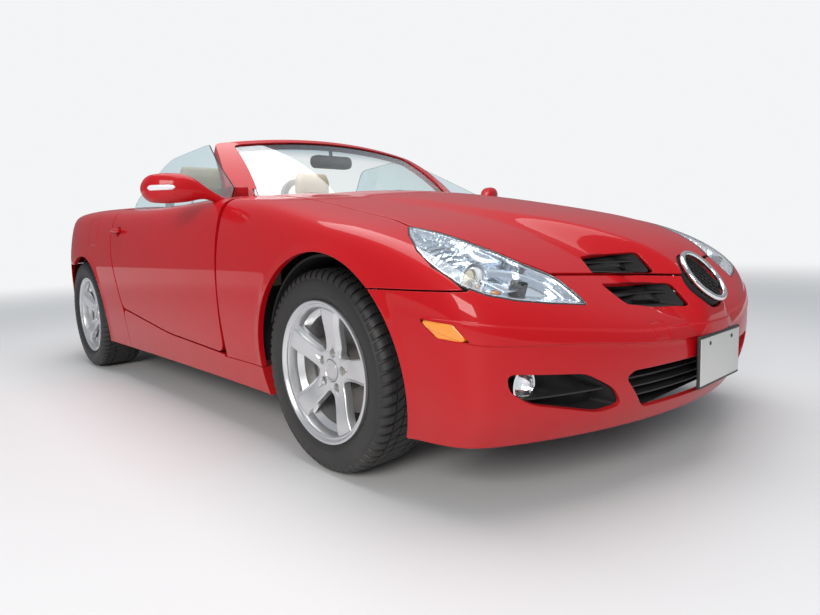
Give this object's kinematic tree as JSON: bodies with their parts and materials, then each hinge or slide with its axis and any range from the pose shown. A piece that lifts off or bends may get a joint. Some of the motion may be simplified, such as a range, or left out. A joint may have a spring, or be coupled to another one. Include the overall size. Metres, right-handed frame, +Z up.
{
  "type": "two-seat convertible car",
  "caption": "Open two-seat roadster with a low nose, teardrop lamps, opening doors, bonnet and boot lid, steered front wheels and a lowered roof.",
  "frame": {"origin": "on the ground under the middle of the car's overall length and width", "axes": "+X forward, +Y to the driver-side left, +Z up"},
  "size_m": [4.083, 2.072, 1.2205],
  "materials": {
    "paint_red": "bright solid red under clear coat",
    "tyre": "black rubber",
    "wheel_silver": "silver painted alloy",
    "iron": "plain cast and machined iron",
    "underbody": "dark underbody coating",
    "alloy": "cast alloy",
    "steel": "plain steel",
    "chrome_trim": "polished",
    "glazing": "clear, faintly tinted",
    "lamp_clear": "clear lamp cover",
    "lamp_red": "red lamp cover",
    "lamp_amber": "amber lamp cover",
    "black_plastic": "grained black",
    "dash_plastic": "soft black trim",
    "dark_leather": "black, smooth",
    "tan_leather": "tan, lightly grained",
    "bar_silver": "silver"
  },
  "bodies": {
    "shell": {"front_axle": "iron", "rear_axle": "iron", "floor": "underbody", "front_frame": "underbody", "rear_frame": "underbody", "engine": "alloy", "exhaust": "steel", "front_bumper": "paint_red", "wing_right": "paint_red", "wing_left": "paint_red", "quarter_right": "paint_red", "quarter_left": "paint_red", "sill_right": "paint_red", "sill_left": "paint_red", "rear_bumper": "paint_red", "headlamps": "lamp_clear", "tail_lamps": "lamp_red", "marker_lamps": "lamp_amber", "fog_lamps": "lamp_clear", "plates": "black_plastic", "screen_frame": "paint_red", "windscreen": "glazing", "inner_mirror": "black_plastic", "cowl": "black_plastic", "wipers": "black_plastic", "dashboard": "dash_plastic", "console": "dash_plastic", "seat_right": "tan_leather", "seat_left": "tan_leather", "roll_bars": "bar_silver", "rear_deck": "black_plastic"},
    "bonnet": {"bonnet": "paint_red", "nose_ring": "chrome_trim"},
    "boot_lid": {"boot_lid": "paint_red"},
    "door_right": {"door_right": "paint_red", "side_glass_right": "glazing", "mirror_right": "paint_red"},
    "door_left": {"door_left": "paint_red", "side_glass_left": "glazing", "mirror_left": "paint_red"},
    "steering_wheel": {"steering_wheel": "dark_leather"},
    "knuckle_right": {"knuckle_right": "iron"},
    "knuckle_left": {"knuckle_left": "iron"},
    "wheel_front_right": {"tyre_front_right": "tyre", "rim_front_right": "wheel_silver", "brake_disc_front_right": "iron"},
    "wheel_front_left": {"tyre_front_left": "tyre", "rim_front_left": "wheel_silver", "brake_disc_front_left": "iron"},
    "wheel_rear_right": {"tyre_rear_right": "tyre", "rim_rear_right": "wheel_silver", "brake_disc_rear_right": "iron"},
    "wheel_rear_left": {"tyre_rear_left": "tyre", "rim_rear_left": "wheel_silver", "brake_disc_rear_left": "iron"}
  },
  "joints": [
    {"name": "bonnet_hinge", "type": "hinge", "parent": "shell", "child": "bonnet", "pos_m": [0.694, 0, 0.868], "axis": [0, -1, 0], "range_deg": [0, 55]},
    {"name": "boot_hinge", "type": "hinge", "parent": "shell", "child": "boot_lid", "pos_m": [-0.884, 0, 0.912], "axis": [0, 1, 0], "range_deg": [0, 70]},
    {"name": "door_right_hinge", "type": "hinge", "parent": "shell", "child": "door_right", "pos_m": [0.486, -0.812, 0.3], "axis": [0, 0, 1], "range_deg": [0, 62]},
    {"name": "door_left_hinge", "type": "hinge", "parent": "shell", "child": "door_left", "pos_m": [0.486, 0.812, 0.3], "axis": [0, 0, -1], "range_deg": [0, 62]},
    {"name": "steer_left", "type": "hinge", "parent": "shell", "child": "knuckle_left", "pos_m": [1.206, 0.765, 0.316], "axis": [0, 0, 1], "range_deg": [-33, 33]},
    {"name": "steer_right", "type": "hinge", "parent": "shell", "child": "knuckle_right", "pos_m": [1.206, -0.765, 0.316], "axis": [0, 0, 1], "range_deg": [-33, 33]},
    {"name": "steering_wheel_turn", "type": "hinge", "parent": "shell", "child": "steering_wheel", "pos_m": [0.15, 0.37, 0.79], "axis": [-0.927, 0, 0.375], "range_deg": [-520, 520]},
    {"name": "wheel_front_right_spin", "type": "hinge", "parent": "knuckle_right", "child": "wheel_front_right", "pos_m": [1.206, -0.765, 0.316], "axis": [0, 1, 0], "continuous": true},
    {"name": "wheel_front_left_spin", "type": "hinge", "parent": "knuckle_left", "child": "wheel_front_left", "pos_m": [1.206, 0.765, 0.316], "axis": [0, 1, 0], "continuous": true},
    {"name": "wheel_rear_right_spin", "type": "hinge", "parent": "shell", "child": "wheel_rear_right", "pos_m": [-1.224, -0.7705, 0.316], "axis": [0, 1, 0], "continuous": true},
    {"name": "wheel_rear_left_spin", "type": "hinge", "parent": "shell", "child": "wheel_rear_left", "pos_m": [-1.224, 0.7705, 0.316], "axis": [0, 1, 0], "continuous": true}
  ],
  "couplings": [
    {"joint": "steer_right", "follows": "steer_left", "ratio": 1},
    {"joint": "steering_wheel_turn", "follows": "steer_left", "ratio": 15}
  ]
}
